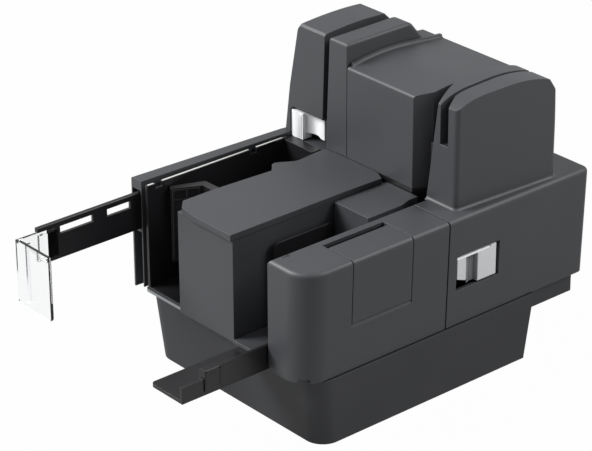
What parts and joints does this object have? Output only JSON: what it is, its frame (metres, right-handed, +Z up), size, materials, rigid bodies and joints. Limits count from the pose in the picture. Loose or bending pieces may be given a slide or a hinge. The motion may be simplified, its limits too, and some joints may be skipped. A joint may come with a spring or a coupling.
{
  "type": "cheque scanner",
  "caption": "Desktop cheque scanner: hopper at the front right, U-shaped paper path between hinged side covers, card swipe slot, output pocket with a sliding stop.",
  "frame": {"origin": "centre of the bounding box, on the surface that the rubber feet stand on", "axes": "+Z up; +Y the way the cheques feed in the hopper, away from the user; +X to the user's right"},
  "size_m": [0.1645, 0.304, 0.188],
  "materials": {
    "case_plastic": "fine spark-textured dark grey ABS",
    "base_plastic": "fine spark-textured near-black grey ABS",
    "inner_plastic": "smooth black ABS with a soft sheen",
    "latch_plastic": "smooth pale grey ABS",
    "clear_plastic": "clear polycarbonate",
    "cartridge_plastic": "black cartridge body",
    "pinch_plastic": "natural acetal",
    "roller_rubber": "ground EPDM rubber",
    "belt_rubber": "moulded belt",
    "foot_rubber": "soft moulded rubber",
    "plated_steel": "bright plated steel",
    "frame_steel": "zinc-plated sheet",
    "motor_steel": "zinc-plated motor can",
    "bush_brass": "sintered bronze",
    "circuit_board": "green solder mask",
    "sensor_glass": "dark glass strip in a black housing"
  },
  "bodies": {
    "root": {"base_shell": "base_plastic", "rubber_feet": "foot_rubber", "main_board": "circuit_board", "usb_port": "plated_steel", "power_inlet": "inner_plastic", "lower_tray": "base_plastic", "case_screws": "plated_steel", "main_frame": "frame_steel", "shaft_bushes": "bush_brass", "drive_motor": "motor_steel", "feed_motor": "motor_steel", "transport_belt": "belt_rubber", "feed_belt": "belt_rubber", "feeder_cover": "case_plastic", "hinge_pins": "plated_steel", "inner_guide": "inner_plastic", "core_sensor": "sensor_glass", "code_head": "plated_steel", "centre_cover": "case_plastic", "pier_cover": "case_plastic", "ink_cartridge": "cartridge_plastic", "rear_cover": "case_plastic", "pocket_wall": "case_plastic", "pocket_liner": "inner_plastic", "deck_cover": "case_plastic", "hopper_floor": "case_plastic", "feed_block": "case_plastic"},
    "hatch": {"feeder_hatch": "case_plastic"},
    "right_door": {"right_door": "case_plastic", "card_head": "plated_steel", "right_latch_pin": "plated_steel", "right_guide": "inner_plastic", "door_sensor": "sensor_glass"},
    "right_latch": {"right_latch": "latch_plastic"},
    "left_door": {"left_door": "case_plastic", "left_guide": "inner_plastic", "left_lever_pin": "plated_steel"},
    "left_lever": {"left_lever": "latch_plastic"},
    "motor": {"motor_pulley": "plated_steel"},
    "drive_1": {"drive_1_shaft": "plated_steel", "drive_1_roller": "roller_rubber"},
    "drive_2": {"drive_2_shaft": "plated_steel", "drive_2_roller": "roller_rubber"},
    "drive_3": {"drive_3_shaft": "plated_steel", "drive_3_roller": "roller_rubber"},
    "feed": {"feed_shaft": "plated_steel", "feed_roller": "roller_rubber"},
    "pickup": {"pickup_shaft": "plated_steel", "pickup_roller": "roller_rubber"},
    "retard": {"retard_roller": "roller_rubber"},
    "pinch_1": {"pinch_1_roller": "pinch_plastic"},
    "pinch_2": {"pinch_2_roller": "pinch_plastic"},
    "pinch_3": {"pinch_3_roller": "pinch_plastic"},
    "power_switch": {"power_switch": "inner_plastic"},
    "pocket_flap": {"pocket_flap": "inner_plastic"},
    "extension": {"extension_plate": "inner_plastic", "clear_stopper": "clear_plastic"},
    "hopper_extension": {"hopper_extension": "inner_plastic"},
    "rail_clip": {"rail_clip": "inner_plastic"},
    "pusher": {"pusher_plate": "inner_plastic"}
  },
  "joints": [
    {"name": "hatch_hinge", "type": "hinge", "parent": "root", "child": "hatch", "pos_m": [0.0628, -0.0135, 0.106], "axis": [0, -1, 0], "range_deg": [0, 70]},
    {"name": "right_door_hinge", "type": "hinge", "parent": "root", "child": "right_door", "pos_m": [0.0543, 0.1474, 0.075], "axis": [0, 0, 1], "range_deg": [0, 30]},
    {"name": "right_latch_pivot", "type": "hinge", "parent": "right_door", "child": "right_latch", "pos_m": [0.0763, 0.0735, 0.0769], "axis": [0, 0, 1], "range_deg": [0, 18], "stiffness_Nm_per_rad": 0.02},
    {"name": "left_door_hinge", "type": "hinge", "parent": "root", "child": "left_door", "pos_m": [-0.0461, 0.1474, 0.075], "axis": [0, 0, -1], "range_deg": [0, 30]},
    {"name": "left_lever_pivot", "type": "hinge", "parent": "left_door", "child": "left_lever", "pos_m": [-0.0669, 0.0522, 0.1201], "axis": [0, 0, -1], "range_deg": [0, 18], "stiffness_Nm_per_rad": 0.02},
    {"name": "motor_spin", "type": "hinge", "parent": "root", "child": "motor", "pos_m": [0.0043, 0.055, 0.079], "axis": [0, 0, 1], "continuous": true},
    {"name": "drive_1_spin", "type": "hinge", "parent": "root", "child": "drive_1", "pos_m": [0.0391, 0.063, 0.079], "axis": [0, 0, 1], "continuous": true},
    {"name": "drive_2_spin", "type": "hinge", "parent": "root", "child": "drive_2", "pos_m": [0.0043, 0.1134, 0.079], "axis": [0, 0, 1], "continuous": true},
    {"name": "drive_3_spin", "type": "hinge", "parent": "root", "child": "drive_3", "pos_m": [-0.0307, 0.069, 0.079], "axis": [0, 0, 1], "continuous": true},
    {"name": "pinch_1_spin", "type": "hinge", "parent": "right_door", "child": "pinch_1", "pos_m": [0.0545, 0.063, 0.079], "axis": [0, 0, 1], "continuous": true},
    {"name": "pinch_2_spin", "type": "hinge", "parent": "root", "child": "pinch_2", "pos_m": [0.0043, 0.1288, 0.079], "axis": [0, 0, 1], "continuous": true},
    {"name": "pinch_3_spin", "type": "hinge", "parent": "left_door", "child": "pinch_3", "pos_m": [-0.0461, 0.069, 0.079], "axis": [0, 0, 1], "continuous": true},
    {"name": "feed_spin", "type": "hinge", "parent": "root", "child": "feed", "pos_m": [0.0607, 0.022, 0.079], "axis": [0, 0, 1], "continuous": true},
    {"name": "pickup_spin", "type": "hinge", "parent": "root", "child": "pickup", "pos_m": [0.0609, -0.013, 0.079], "axis": [0, 0, 1], "continuous": true},
    {"name": "retard_spin", "type": "hinge", "parent": "root", "child": "retard", "pos_m": [0.0359, 0.022, 0.079], "axis": [0, 0, 1], "continuous": true},
    {"name": "power_switch_tilt", "type": "hinge", "parent": "root", "child": "power_switch", "pos_m": [-0.0177, 0.146, 0.075], "axis": [1, 0, 0], "range_deg": [0, 14]},
    {"name": "pocket_flap_swing", "type": "hinge", "parent": "root", "child": "pocket_flap", "pos_m": [-0.0373, -0.03, 0.08], "axis": [0, 0, 1], "range_deg": [0, 25]},
    {"name": "extension_slide", "type": "slide", "parent": "root", "child": "extension", "axis": [0, 1, 0], "range_m": [0, 0.06]},
    {"name": "hopper_extension_slide", "type": "slide", "parent": "root", "child": "hopper_extension", "axis": [0, 1, 0], "range_m": [0, 0.058]},
    {"name": "rail_clip_slide", "type": "slide", "parent": "hopper_extension", "child": "rail_clip", "axis": [0, 1, 0], "range_m": [-0.014, 0]},
    {"name": "pusher_slide", "type": "slide", "parent": "root", "child": "pusher", "axis": [1, 0, 0], "range_m": [0, 0.022]}
  ],
  "couplings": [
    {"joint": "drive_1_spin", "follows": "motor_spin", "ratio": 1},
    {"joint": "drive_2_spin", "follows": "motor_spin", "ratio": 1},
    {"joint": "drive_3_spin", "follows": "motor_spin", "ratio": 1},
    {"joint": "pinch_1_spin", "follows": "motor_spin", "ratio": -1.5},
    {"joint": "pinch_2_spin", "follows": "motor_spin", "ratio": -1.5},
    {"joint": "pinch_3_spin", "follows": "motor_spin", "ratio": -1.5},
    {"joint": "pickup_spin", "follows": "feed_spin", "ratio": 1}
  ]
}
